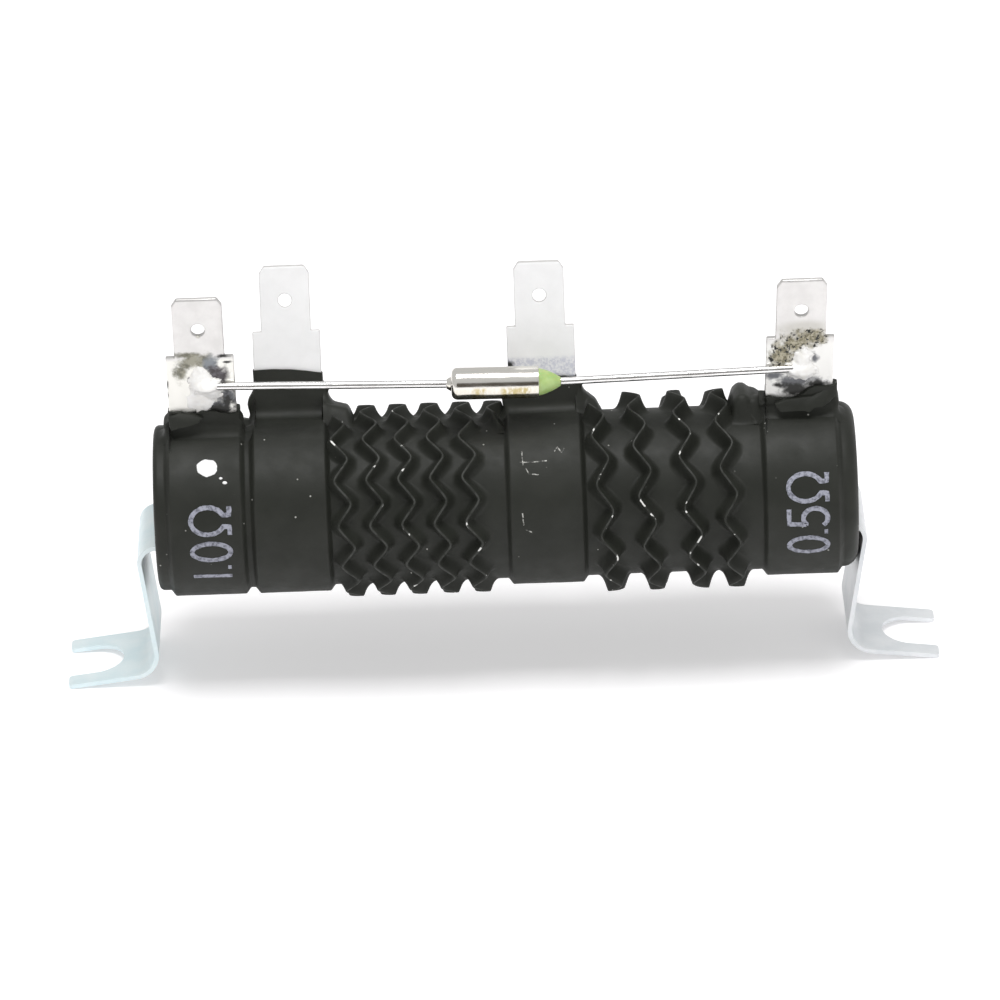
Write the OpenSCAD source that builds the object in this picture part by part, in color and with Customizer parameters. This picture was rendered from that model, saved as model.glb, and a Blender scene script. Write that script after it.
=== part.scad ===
// Two-section power resistor on a ceramic tube: corrugated ribbons wound on edge,
// four strap terminals with push-on tabs, a thermal fuse across the end terminals
// and two push-in feet. Millimetres; X runs along the tube, -Y is the front, Z is up.

/* [Ceramic tube] */
// Length of the ceramic tube
core_len = 88.2; // [84:0.2:110]
// Outer diameter of the ceramic tube
core_d = 20; // [18:0.5:26]
// Diameter of the bore through the tube
bore_d = 13.5; // [13:0.25:15]
// Rounding of the tube's outer edges
core_edge = 1.6; // [0.4:0.1:1.7]

/* [Terminals] */
// Width of the strap that clamps round the tube
strap_w = 8.6; // [7.5:0.1:9]
// Thickness of the strap, neck and tab
strap_t = 0.8; // [0.5:0.05:1]
// Inside radius of the bend where a strap turns outward
strap_bend = 0.5; // [0.3:0.1:0.9]
// Height of the flange that closes a strap behind its neck
flange_rise = 2.4; // [1.6:0.1:3]
// Height of the wide neck above the strap
neck_rise = 11.5; // [10:0.1:15]
// Width of the push-on tab
tab_w = 6.35; // [4.8:0.05:7]
// Length of the push-on tab
tab_len = 8.45; // [7:0.05:10]
// Width of the cut corners at the tab's tip
tip_cut_w = 0.65; // [0.2:0.05:1.2]
// Height of the cut corners at the tab's tip
tip_cut_h = 1; // [0.3:0.05:2]
// Bevel of the tip's edges on both faces
tip_bevel = 0.2; // [0.05:0.05:0.24]
// Diameter of the catch hole in the tab
catch_d = 1.75; // [1.2:0.05:2.4]
// Distance from the tip to the centre of the catch hole
catch_set = 4.5; // [3:0.1:5.5]
// Length of tube outside the left end terminal's band
left_margin = 1.8; // [1.6:0.1:4]
// Length of tube outside the right end terminal's band
right_margin = 2.3; // [1.6:0.1:4]
// Gap between the coated bands of the two left terminals
tap_gap = 1.2; // [1:0.1:4]
// Place of the centre tap along the tube
centre_tap_x = 5.1; // [0:0.1:8]
// Turn of the left end terminal towards the front
end_left_clock = 3.8; // [-8:0.2:8]
// Turn of the left tap towards the front
tap_left_clock = -18; // [-24:0.5:-12]
// Turn of the centre tap towards the front
tap_centre_clock = -12.4; // [-24:0.2:-10]
// Turn of the right end terminal towards the front
end_right_clock = 4.8; // [-8:0.2:8]
// Sideways lean of the right end tab
end_right_lean = 2; // [-4:0.5:4]

/* [Enamel coat] */
// Thickness of the coat on the tube and the straps
coat_t = 0.58; // [0.3:0.02:0.8]
// How far the coat reaches past the sides of a strap
band_lap = 0.5; // [0.3:0.05:0.8]
// How far the coat wraps over the tube's end faces
end_wrap = 2.1; // [1.9:0.1:2.4]
// Rounding of the coat at the left end
round_left = 0.7; // [0.2:0.1:1]
// Coat on the front and back of a neck
neck_face_coat = 0.45; // [0.2:0.05:0.8]
// Coat on the sides of a neck
neck_side_coat = 0.7; // [0.3:0.05:0.8]
// Coat on the sides of a neck at the coat's upper edge
neck_edge_coat = 0.15; // [0.05:0.05:0.3]
// Height over which the coat thins out up a neck
collar_taper = 1.8; // [0.8:0.1:2.4]
// Height of the coat on the necks of the end terminals, above the strap
end_collar_rise = 3.7; // [3.2:0.1:5]
// Height of the coat on the necks of the taps, above the strap
tap_collar_rise = 6.7; // [4:0.1:8]
// Fillet of the coat between a neck and its strap
neck_fillet = 1; // [0.4:0.1:1.6]

/* [Ribbons] */
// Thickness of a coated ribbon along the tube
ribbon_t = 0.45; // [0.3:0.01:0.6]
// Height of the left ribbon above the coat
left_ribbon_h = 1.65; // [1:0.05:3]
// Height of the right ribbon above the coat
right_ribbon_h = 2.16; // [1:0.02:3]
// Turns of the left ribbon
left_turns = 5; // [3:1:6]
// Turns of the right ribbon
right_turns = 4; // [2:1:5]
// Waves in one turn of the left ribbon
left_waves = 13; // [9:0.25:15]
// Waves in one turn of the right ribbon
right_waves = 11.75; // [9:0.25:15]
// Half the sideways swing of the left ribbon's waves
left_swing = 0.93; // [0.4:0.01:1.1]
// Half the sideways swing of the right ribbon's waves
right_swing = 0.9; // [0.4:0.05:1.1]
// Angle from the top to the first crest of the left ribbon
left_crest = 8.4; // [0:0.1:27]
// Angle from the top to the first crest of the right ribbon
right_crest = 12; // [0:0.5:30]
// Sharpness of the wave crests, from round to pointed
crest_sharpness = 0.9; // [0.3:0.05:0.98]
// Gap from the left tap's band to the first turn
left_start_gap = 1.2; // [1.2:0.05:3]
// Gap from the last turn of the left ribbon to the centre tap's band
left_end_gap = 1.35; // [1.2:0.05:3]
// Gap from the centre tap's band to the first turn
right_start_gap = 1.7; // [1.2:0.05:3]
// Gap from the last turn of the right ribbon to the end terminal's band
right_end_gap = 2.1; // [1.2:0.1:4]
// How far the middle turns of the right ribbon are crowded to the right
right_crowding = 1.6; // [0:0.1:1.8]

/* [Thermal fuse] */
// Diameter of the fuse's can
fuse_d = 4.1; // [3:0.1:5]
// Length of the fuse's can
fuse_len = 11.1; // [8:0.1:15]
// Rounding of the can's closed end
fuse_round = 0.8; // [0.3:0.1:1.2]
// Length of the crimped nose at the can's closed end
nose_len = 0.6; // [0.3:0.1:1.5]
// Diameter of the nose where it leaves the can
nose_d = 1.9; // [1.6:0.1:2.6]
// Diameter of the nose at the lead
nose_tip_d = 1.2; // [1.1:0.1:1.6]
// Length of the resin cone in the can's mouth
seal_len = 2.8; // [1.5:0.1:4]
// Diameter of the resin cone's tip
seal_tip_d = 1.1; // [1.1:0.1:2.4]
// How far the resin cone's side bulges
seal_bulge = 0.15; // [0:0.05:0.3]
// Wall of the can round the resin
can_wall = 0.3; // [0.15:0.05:0.5]
// Diameter of the fuse's leads
lead_d = 1; // [0.6:0.05:1.4]
// Place of the middle of the can along the tube
fuse_x = -0.9; // [-6:0.05:6]
// Height of the fuse below the shoulders of the end terminals
fuse_drop = 4.85; // [4:0.05:6]
// Angle by which the can's open end hangs lower
fuse_tilt = 0.8; // [0:0.1:1.2]
// Height of the left joint below its terminal's shoulder
left_joint_drop = 3.95; // [3.5:0.05:5.5]
// Height of the right joint below its terminal's shoulder
right_joint_drop = 4.15; // [3.5:0.05:5.5]
// How far a lead runs past the middle of its terminal
lead_past = 0.2; // [0:0.1:1.5]
// Radius of a solder joint on its neck
solder_r = 2.7; // [2:0.1:3.2]
// Height of a solder joint on its neck
solder_h = 1.45; // [1.2:0.05:1.9]

/* [Feet] */
// Width of the strip that a foot is folded from
strip_w = 12; // [9:0.25:12.5]
// Thickness of the strip
strip_t = 0.6; // [0.4:0.05:1]
// Height of the tube's axis above the ground
axis_h = 22.85; // [19:0.05:30]
// Length of the tongue inside the bore
tongue_len = 22; // [10:1:36]
// Distance from the left end of the tube to the outside of its leg
left_stand_off = 2.7; // [1.8:0.1:6]
// Distance from the right end of the tube to the outside of its leg
right_stand_off = 1.2; // [1.2:0.1:6]
// Inside radius of the bend between tongue and leg
tongue_bend = 1.9; // [1:0.1:3]
// Inside radius of the bend between leg and foot
foot_bend = 2.9; // [1:0.1:4]
// Flat length of a foot
foot_len = 8.8; // [7.2:0.1:14]
// Angle by which the left leg leans out
left_lean = 6.5; // [0:0.5:8]
// Angle by which the right leg leans out
right_lean = 9; // [0:0.5:9]
// Angle by which a foot droops outward
foot_droop = 7; // [0:0.5:8]
// Width of the open slot in a foot
slot_w = 7; // [4.5:0.1:7.5]
// Depth of the open slot in a foot
slot_len = 7.1; // [4.5:0.1:7.2]
// Rounding of the corners of the prongs
prong_round = 0.5; // [0.1:0.1:0.7]

/* [Fits] */
// Clearance between a ribbon and the coat that it stands on
ribbon_seat = 0.02; // [0.01:0.01:0.1]
// Clearance of a tongue's edges in the bore
tongue_seat = 0.03; // [0.01:0.01:0.1]
// Clearance of a lead on its terminal and in the fuse
lead_seat = 0.02; // [0.01:0.01:0.1]

/* [Hidden] */
$fn = 96;
// Faces along each half arc of the coat's edges
arc_steps = 4;
// Faces along each bend of a foot's strip
bend_steps = 12;
// Points along one wave of a ribbon
wave_points = 8;
// Part of a turn in which a ribbon's end runs over to its band
ribbon_lead = 0.04;
// Longer than any part, for cutting
far = 60;

core_r = core_d / 2;
bore_r = bore_d / 2;
coat_r = core_r + coat_t;
strap_r = core_r + strap_t;
band_r = strap_r + coat_t;
body_half = core_len / 2 + coat_t;
// Half the height of the step from the coat up to a band
half_step = strap_t / 2;
// The coat follows the tube's edge at the right end, as far as the foot of the last band
round_right = min(core_edge + coat_t, right_margin - half_step - 0.05);

band_w = strap_w + 2 * band_lap;
end_left_x = -body_half + left_margin + band_w / 2;
tap_left_x = end_left_x + band_w + tap_gap;
end_right_x = body_half - right_margin - band_w / 2;
band_xs = [end_left_x, tap_left_x, centre_tap_x, end_right_x];

shoulder_r = strap_r + neck_rise;
tip_r = shoulder_r + tab_len;
flange_r = strap_r + flange_rise;
// A tab leans from where its neck leaves the coat
lean_r = strap_r + end_collar_rise;
// Distance of the strap bends' centres from the tube's axis, and beside the neck
bend_reach = strap_r + strap_bend;
front_bend = -strap_t / 2 - strap_bend;
back_bend = 3 * strap_t / 2 + strap_bend;
collar_front = -strap_t / 2 - neck_face_coat;
collar_back = 3 * strap_t / 2 + neck_face_coat;
collar_w = strap_w + 2 * neck_side_coat;

lead_r = lead_d / 2;
fuse_r = fuse_d / 2;
fuse_half = fuse_len / 2;
seal_r = fuse_r - can_wall;
left_joint = joint_point(end_left_x - lead_past, end_left_clock, shoulder_r - left_joint_drop);
right_joint = joint_point(end_right_x + lead_past, end_right_clock, shoulder_r - right_joint_drop);
// The fuse hangs as far forward as the more forward joint, so that both leads clear the necks
fuse_y = min(left_joint[1], right_joint[1]);
fuse_z = shoulder_r - fuse_drop;
// Radius of the ball that a solder joint is a cap of
solder_ball = (solder_r * solder_r + solder_h * solder_h) / (2 * solder_h);

// The tongue rests with its lower edges on the wall of the bore
tongue_z = -sqrt(pow(bore_r, 2) - pow(strip_w / 2, 2)) + tongue_seat + strip_t / 2;
tongue_turn = tongue_bend + strip_t / 2;
foot_turn = foot_bend + strip_t / 2;
// The tube moves sideways to stay over the middle of the two feet
body_x = (left_stand_off + foot_reach(left_lean) - right_stand_off - foot_reach(right_lean)) / 2;

// Points of an arc from one angle to another
function arc(centre, r, from, to, steps = arc_steps) =
    [for (i = [0:steps]) let (a = from + (to - from) * i / steps) centre + r * [cos(a), sin(a)]];

// Soft step from 0 to 1
function ease(t) = let (c = max(0, min(1, t))) c * c * (3 - 2 * c);

// Zigzag with rounded crests, between -1 and 1
function zigzag(angle) = asin(crest_sharpness * cos(angle)) / asin(crest_sharpness);

// Centre of a lead that lies on the front of a neck turned by clock, at a height r up the neck
function joint_point(x, clock, r) =
    let (s = -strap_t / 2 - lead_r - lead_seat)
    [x, s * cos(clock) - r * sin(clock), r * cos(clock) + s * sin(clock)];

// Straight length of a leg that brings its foot down to the ground
function leg_len(lean) = (axis_h + tongue_z - tongue_turn - (tongue_turn + foot_turn) * sin(lean)
    - (foot_turn + strip_t / 2) * cos(foot_droop) - foot_len * sin(foot_droop)) / cos(lean);

// Distance along the tube from the end of a tongue to the end of its foot
function foot_reach(lean) = (tongue_turn + foot_turn) * cos(lean) - leg_len(lean) * sin(lean)
    - foot_turn * sin(foot_droop) + foot_len * cos(foot_droop);

// Cuts of the bent strip: straight length, bend angle and radius of the bend's middle line
function strip_runs(lean) = [
    [tongue_len, -90 - lean, tongue_turn],
    [leg_len(lean), 90 + lean - foot_droop, foot_turn],
    [foot_len, 0, 0]
];

// Moves a piece from the tube's own axis to its place above the ground
module place() {
    translate([body_x, 0, axis_h]) children();
}

// Revolves an outline of [radius, place along the tube] round the tube's axis
module revolve(outline) {
    rotate([0, 90, 0]) rotate_extrude() polygon(outline);
}

// Extrudes a section drawn across the tube, as [Y, Z], along X
module along_tube(length) {
    rotate([90, 0, 90]) linear_extrude(length, center = true) children();
}

// Extrudes an outline drawn as [X, Z] through Y
module through(depth) {
    rotate([90, 0, 0]) linear_extrude(depth, center = true) children();
}

// Flat wedge between two angles, to cut a ring down to a bend
module wedge(centre, from, to, r) {
    polygon(concat([centre], arc(centre, r, from, to)));
}

// Part of a flat ring between two angles
module bend_section(centre, inner, t, from, to) {
    intersection() {
        translate(centre) difference() {
            circle(inner + t);
            circle(inner);
        }
        wedge(centre, from, to, 2 * (inner + t));
    }
}

module core_solid() {
    revolve(concat(
        [[0, -core_len / 2]],
        arc([core_r - core_edge, -core_len / 2 + core_edge], core_edge, -90, 0),
        arc([core_r - core_edge, core_len / 2 - core_edge], core_edge, 0, 90),
        [[0, core_len / 2]]
    ));
}

// Strap section: a ring whose two ends turn outward and close against each other
module strap_section() {
    front_z = sqrt(pow(bend_reach, 2) - pow(front_bend, 2));
    back_z = sqrt(pow(bend_reach, 2) - pow(back_bend, 2));
    front_angle = atan2(front_z, front_bend);
    back_angle = atan2(back_z, back_bend);
    difference() {
        circle(strap_r);
        circle(core_r);
        wedge([0, 0], back_angle, front_angle, 2 * strap_r);
    }
    bend_section([front_bend, front_z], strap_bend, strap_t, front_angle - 180, 0);
    bend_section([back_bend, back_z], strap_bend, strap_t, 180, back_angle + 180);
    translate([-strap_t / 2, front_z]) square([strap_t, flange_r - front_z]);
    translate([strap_t / 2, back_z]) square([strap_t, flange_r - back_z]);
}

// Neck and tab above the closing flange; lean tips the bare part sideways
module upright(lean) {
    catch_r = tip_r - catch_set;
    function leaned(x, r) = [x + max(0, r - lean_r) * tan(lean), r];
    sides = [
        [strap_w / 2, flange_r], [strap_w / 2, lean_r], [strap_w / 2, shoulder_r], [tab_w / 2, shoulder_r],
        [tab_w / 2, tip_r - tip_cut_h], [tab_w / 2 - tip_cut_w, tip_r]
    ];
    right = [for (p = sides) leaned(p[0], p[1])];
    left = [for (i = [len(sides) - 1:-1:0]) leaned(-sides[i][0], sides[i][1])];
    intersection() {
        through(strap_t) difference() {
            polygon(concat(right, left));
            translate(leaned(0, catch_r)) circle(d = catch_d);
        }
        along_tube(far) polygon([
            [-strap_t / 2, flange_r], [strap_t / 2, flange_r], [strap_t / 2, tip_r - tip_bevel],
            [strap_t / 2 - tip_bevel, tip_r], [-strap_t / 2 + tip_bevel, tip_r],
            [-strap_t / 2, tip_r - tip_bevel]
        ]);
    }
}

module strap_terminal(x, clock, lean = 0) {
    translate([x, 0, 0]) rotate([clock, 0, 0]) {
        along_tube(strap_w) strap_section();
        upright(lean);
    }
}

// Fillet between the face of a neck, at s, and the round it stands on; side is -1 in front and 1 behind
module neck_fillet_section(s, side, base, r) {
    reach = base + r;
    c = [s + side * r, sqrt(pow(reach, 2) - pow(s + side * r, 2))];
    difference() {
        polygon([[s, core_r], c * base / reach, c, [s, c[1]]]);
        translate(c) circle(r);
    }
}

// Room that a strap and its neck take up in the coat
module strap_room(x, clock) {
    translate([x, 0, 0]) rotate([clock, 0, 0]) along_tube(strap_w) {
        circle(strap_r);
        translate([-strap_t / 2, 0]) square([strap_t, far]);
        translate([-strap_t / 2, 0]) square([2 * strap_t, flange_r]);
        neck_fillet_section(-strap_t / 2, -1, strap_r, strap_bend);
        neck_fillet_section(3 * strap_t / 2, 1, strap_r, strap_bend);
    }
}

// Outline of the coat's step up to a band, and down from it
function step_up(x) = concat(
    arc([coat_r + half_step, x - half_step], half_step, 180, 90),
    arc([coat_r + half_step, x + half_step], half_step, -90, 0)
);
function step_down(x) = concat(
    arc([coat_r + half_step, x - half_step], half_step, 0, 90),
    arc([coat_r + half_step, x + half_step], half_step, -90, -180)
);

module coat_skin() {
    bands = [for (x = band_xs) concat(step_up(x - band_w / 2), step_down(x + band_w / 2))];
    revolve(concat(
        [[core_r - end_wrap, -body_half]],
        arc([coat_r - round_left, -body_half + round_left], round_left, -90, 0),
        [for (band = bands) each band],
        arc([coat_r - round_right, body_half - round_right], round_right, 0, 90),
        [[core_r - end_wrap, body_half]]
    ));
}

// Coat that climbs the neck of a terminal
module collar(x, clock, rise) {
    top = strap_r + rise;
    edge_w = strap_w + 2 * neck_edge_coat;
    translate([x, 0, 0]) rotate([clock, 0, 0]) intersection() {
        along_tube(collar_w) {
            translate([collar_front, core_r]) square([collar_back - collar_front, top - core_r]);
            neck_fillet_section(collar_front, -1, band_r, neck_fillet);
            neck_fillet_section(collar_back, 1, band_r, neck_fillet);
        }
        through(far) polygon([
            [-collar_w / 2, 0], [collar_w / 2, 0], [collar_w / 2, top - collar_taper], [edge_w / 2, top],
            [-edge_w / 2, top], [-collar_w / 2, top - collar_taper]
        ]);
    }
}

// Ribbon wound on edge, with waves along the tube; its ends run over to the bands beside it
module ribbon(left_edge, right_edge, start_gap, end_gap, height, turns, waves, swing, crest, crowding) {
    base = coat_r + ribbon_seat;
    start_x = left_edge + start_gap;
    pitch = (right_edge - end_gap - start_x) / turns;
    // Middle of the ribbon where it meets a band, clear of the coat's fillet there
    end_clear = half_step + ribbon_t / 2 + ribbon_seat;
    function winding(u) = start_x + pitch * u + crowding * sin(180 * pow(u / turns, 2))
        + swing * zigzag(waves * (360 * u - crest));
    // 0 where the ribbon meets a band, 1 along its turns
    function away(u) = min(ease(1 + u / ribbon_lead), ease(1 - (u - turns) / ribbon_lead));
    function between(from, to, k) = from + k * (to - from);
    function middle(u) =
        u < 0 ? between(left_edge + end_clear, winding(0), away(u)) :
        u > turns ? between(right_edge - end_clear, winding(turns), away(u)) :
        winding(u);
    function crown(u) = between(band_r, coat_r + height, away(u));
    steps = round((turns + 2 * ribbon_lead) * waves * wave_points);
    points = [
        for (i = [0:steps])
        let (u = -ribbon_lead + (turns + 2 * ribbon_lead) * i / steps)
        let (a = 360 * u, x = middle(u), top = crown(u))
        each [
            [x - ribbon_t / 2, -base * sin(a), base * cos(a)],
            [x + ribbon_t / 2, -base * sin(a), base * cos(a)],
            [x + ribbon_t / 2, -top * sin(a), top * cos(a)],
            [x - ribbon_t / 2, -top * sin(a), top * cos(a)]
        ]
    ];
    last = 4 * steps;
    sides = [
        for (i = [0:steps - 1], k = [0:3])
        let (p = 4 * i + k, q = 4 * i + (k + 1) % 4)
        each [[p, q, p + 4], [q, q + 4, p + 4]]
    ];
    polyhedron(points, concat([[3, 2, 1, 0]], sides, [[last, last + 1, last + 2, last + 3]]));
}

// Point on the fuse's own axis, at a distance from the middle of its can
function fuse_point(x) = [fuse_x + x * cos(fuse_tilt), fuse_y, fuse_z - x * sin(fuse_tilt)];

// Moves a piece from the middle of the can to its place
module at_fuse() {
    translate([fuse_x, fuse_y, fuse_z]) rotate([0, fuse_tilt, 0]) children();
}

// Straight lead from the fuse to its joint; side is -1 on the left
module fuse_lead(start_x, joint, side) {
    start = fuse_point(start_x + side * lead_seat);
    run = joint - start;
    length = norm(run);
    translate(start) rotate([0, acos(run[2] / length), atan2(run[1], run[0])])
        cylinder(h = length, r = lead_r);
}

module left_lead() {
    fuse_lead(-fuse_half - nose_len, left_joint, -1);
}

module right_lead() {
    fuse_lead(fuse_half + seal_len, right_joint, 1);
}

// Cap of solder on the front of a neck, over the end of a lead
module solder_cap(x, clock, r) {
    translate([x, 0, 0]) rotate([clock, 0, 0]) translate([0, -strap_t / 2 - lead_seat, r]) intersection() {
        translate([0, solder_ball - solder_h, 0]) sphere(solder_ball);
        translate([-far / 2, -far, -far / 2]) cube(far);
    }
}

// Points along one face of the bent strip, at s to the left of its middle line
function strip_face(runs, s, i = 0, at = [0, 0], heading = 0) =
    let (run = runs[i], side = sign(run[1]))
    let (end = at + run[0] * [cos(heading), sin(heading)], left = [-sin(heading), cos(heading)])
    side == 0 ? [end + s * left] :
    let (centre = end + side * run[2] * left, from = heading - side * 90, to = from + run[1])
    concat(
        arc(centre, run[2] - side * s, from, to, bend_steps),
        strip_face(runs, s, i + 1, centre + run[2] * [cos(to), sin(to)], heading + run[1])
    );

// Flat drawing of the bent strip
module strip_section(runs) {
    lower = strip_face(runs, -strip_t / 2);
    upper = strip_face(runs, strip_t / 2);
    polygon(concat(
        [[0, strip_t / 2], [0, -strip_t / 2]],
        lower,
        [for (i = [len(upper) - 1:-1:0]) upper[i]]
    ));
}

// Carries a cut along the bent strip to the start of its foot
module at_foot(runs, i = 0) {
    run = runs[i];
    side = sign(run[1]);
    if (side == 0) {
        children();
    } else {
        translate([run[0], side * run[2], 0]) rotate([0, 0, run[1]]) translate([0, -side * run[2], 0])
            at_foot(runs, i + 1) children();
    }
}

// Plan of what is cut from the foot's outer end: an open slot and the corners of its two prongs
module slot_plan() {
    straight = foot_len - slot_len + slot_w / 2;
    translate([straight, 0]) circle(d = slot_w);
    translate([straight, -slot_w / 2]) square([far, slot_w]);
    for (edge = [[-strip_w / 2, -1], [-slot_w / 2, 1], [slot_w / 2, -1], [strip_w / 2, 1]]) {
        translate([foot_len - prong_round, edge[0] - edge[1] * prong_round]) difference() {
            scale([1, edge[1]]) square(2 * prong_round);
            circle(prong_round);
        }
    }
}

// Foot at the right end: tongue, leg and slotted foot folded from one strip
module bracket(stand_off, lean) {
    runs = strip_runs(lean);
    translate([body_half + stand_off - strip_t - tongue_bend - tongue_len, 0, tongue_z]) rotate([90, 0, 0])
        difference() {
            linear_extrude(strip_w, center = true) strip_section(runs);
            at_foot(runs) rotate([90, 0, 0]) linear_extrude(foot_len, center = true) slot_plan();
        }
}

module ceramic_core() {
    color("linen") place() difference() {
        core_solid();
        rotate([0, 90, 0]) cylinder(h = core_len + far, r = bore_r, center = true);
    }
}

module enamel_coat() {
    color([0.16, 0.17, 0.16]) place() difference() {
        union() {
            coat_skin();
            collar(end_left_x, end_left_clock, end_collar_rise);
            collar(tap_left_x, tap_left_clock, tap_collar_rise);
            collar(centre_tap_x, tap_centre_clock, tap_collar_rise);
            collar(end_right_x, end_right_clock, end_collar_rise);
        }
        core_solid();
        strap_room(end_left_x, end_left_clock);
        strap_room(tap_left_x, tap_left_clock);
        strap_room(centre_tap_x, tap_centre_clock);
        strap_room(end_right_x, end_right_clock);
    }
}

module ribbon_left() {
    color([0.2, 0.21, 0.2]) place() ribbon(
        tap_left_x + band_w / 2, centre_tap_x - band_w / 2, left_start_gap, left_end_gap,
        left_ribbon_h, left_turns, left_waves, left_swing, left_crest, 0
    );
}

module ribbon_right() {
    color([0.2, 0.21, 0.2]) place() ribbon(
        centre_tap_x + band_w / 2, end_right_x - band_w / 2, right_start_gap, right_end_gap,
        right_ribbon_h, right_turns, right_waves, right_swing, right_crest, right_crowding
    );
}

module end_terminal_left() {
    color("silver") place() strap_terminal(end_left_x, end_left_clock);
}

module tap_terminal_left() {
    color("gainsboro") place() strap_terminal(tap_left_x, tap_left_clock);
}

module tap_terminal_centre() {
    color("gainsboro") place() strap_terminal(centre_tap_x, tap_centre_clock);
}

module end_terminal_right() {
    color("silver") place() strap_terminal(end_right_x, end_right_clock, end_right_lean);
}

module fuse_case() {
    color([0.75, 0.73, 0.68]) place() at_fuse() difference() {
        revolve(concat(
            [[0, -fuse_half - nose_len], [nose_tip_d / 2, -fuse_half - nose_len], [nose_d / 2, -fuse_half]],
            arc([fuse_r - fuse_round, -fuse_half + fuse_round], fuse_round, -90, 0),
            [[fuse_r, fuse_half], [0, fuse_half]]
        ));
        translate([fuse_half - can_wall, 0, 0]) rotate([0, 90, 0])
            cylinder(h = far, r = seal_r);
    }
}

module fuse_seal() {
    side = [for (i = [0:arc_steps]) let (t = i / arc_steps)
        [seal_r + (seal_tip_d / 2 - seal_r) * t + 4 * seal_bulge * t * (1 - t), fuse_half + seal_len * t]];
    color([0.55, 0.72, 0.36]) place() at_fuse() revolve(concat(
        [[0, fuse_half - can_wall], [seal_r, fuse_half - can_wall]], side, [[0, fuse_half + seal_len]]
    ));
}

module fuse_lead_left() {
    color("silver") place() left_lead();
}

module fuse_lead_right() {
    color("silver") place() right_lead();
}

module solder_left() {
    color([0.7, 0.7, 0.68]) place() difference() {
        solder_cap(end_left_x - lead_past, end_left_clock, shoulder_r - left_joint_drop);
        left_lead();
    }
}

module solder_right() {
    color([0.7, 0.7, 0.68]) place() difference() {
        solder_cap(end_right_x + lead_past, end_right_clock, shoulder_r - right_joint_drop);
        right_lead();
    }
}

module bracket_left() {
    color("lightsteelblue") place() mirror([1, 0, 0]) bracket(left_stand_off, left_lean);
}

module bracket_right() {
    color("lightsteelblue") place() bracket(right_stand_off, right_lean);
}

ceramic_core();
enamel_coat();
ribbon_left();
ribbon_right();
end_terminal_left();
tap_terminal_left();
tap_terminal_centre();
end_terminal_right();
fuse_case();
fuse_seal();
fuse_lead_left();
fuse_lead_right();
solder_left();
solder_right();
bracket_left();
bracket_right();
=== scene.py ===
"""Looks of a two-section power resistor on a ceramic tube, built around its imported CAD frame."""
import math

import bmesh
import bpy
from mathutils import Matrix, Vector, noise


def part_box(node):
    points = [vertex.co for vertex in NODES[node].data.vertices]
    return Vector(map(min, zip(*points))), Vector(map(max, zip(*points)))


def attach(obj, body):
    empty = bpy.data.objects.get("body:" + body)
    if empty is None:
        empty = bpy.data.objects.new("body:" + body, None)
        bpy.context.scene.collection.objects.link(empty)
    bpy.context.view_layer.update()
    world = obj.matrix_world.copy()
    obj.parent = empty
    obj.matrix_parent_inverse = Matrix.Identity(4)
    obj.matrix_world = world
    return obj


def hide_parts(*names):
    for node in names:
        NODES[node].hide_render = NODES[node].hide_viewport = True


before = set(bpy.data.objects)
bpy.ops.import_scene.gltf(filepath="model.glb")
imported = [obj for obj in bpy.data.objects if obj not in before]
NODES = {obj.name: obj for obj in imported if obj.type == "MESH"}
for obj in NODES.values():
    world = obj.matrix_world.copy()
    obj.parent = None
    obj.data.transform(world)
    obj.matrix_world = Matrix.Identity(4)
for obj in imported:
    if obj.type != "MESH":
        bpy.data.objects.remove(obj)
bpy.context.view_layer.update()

# Sizes that the CAD source drives, in metres, degrees and turns
MM = 0.001
COAT_T = 0.58 * MM
STRAP_T = 0.8 * MM
BAND_LAP = 0.5 * MM
END_WRAP = 2.1 * MM
CORE_EDGE = 1.6 * MM
ROUND_LEFT = 0.7 * MM
ROUND_RIGHT = 1.85 * MM
CLOCKS = {"end_left": 3.8, "tap_left": -18.0, "tap_centre": -12.4, "end_right": 4.8}
END_RISE = 3.7 * MM
TAP_RISE = 6.7 * MM
COLLAR_RISES = {"end_left": END_RISE, "tap_left": TAP_RISE, "tap_centre": TAP_RISE, "end_right": END_RISE}
FLANGE_RISE = 2.4 * MM
NECK_FACE_COAT = 0.45 * MM
NECK_SIDE_COAT = 0.7 * MM
NECK_EDGE_COAT = 0.15 * MM
NECK_FILLET = 1.2 * MM
NECK_RISE = 11.5 * MM
JOINT_DROPS = {"end_left": 3.95 * MM, "end_right": 4.15 * MM}
RIBBON_T = 0.45 * MM
RIBBON_HEIGHTS = (1.65 * MM, 2.16 * MM)
RIBBON_LEAD = 0.04
CREST_SHARPNESS = 0.9

# Sizes of the coat's finer forms, which only the scene has
EDGE_SOFT = 0.4 * MM
RIBBON_FOOT = 1.25 * MM
SKIN_GAP = 0.01 * MM

# Places read from the frame
core_low, core_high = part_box("ceramic_core")
strap_low, strap_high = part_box("end_terminal_left")
CENTRE = (core_low + core_high) / 2
CORE_R = (core_high.y - core_low.y) / 2
CORE_HALF = (core_high.x - core_low.x) / 2
STRAP_R = CORE_R + STRAP_T
STRAP_W = strap_high.x - strap_low.x
COAT_R = CORE_R + COAT_T
BAND_R = STRAP_R + COAT_T
BODY_HALF = CORE_HALF + COAT_T
BAND_HALF = STRAP_W / 2 + BAND_LAP
# Radii at which the fuse's leads are soldered to the necks
JOINT_RADII = {t: STRAP_R + NECK_RISE - drop for t, drop in JOINT_DROPS.items()}


def node_name(terminal):
    """Name of a terminal's CAD node."""
    return terminal.replace("_", "_terminal_")


# Middles of the terminals' straps along the tube, from the tube's middle
BAND_XS = {t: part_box(node_name(t))[0].x + STRAP_W / 2 - CENTRE.x for t in CLOCKS}


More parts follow.
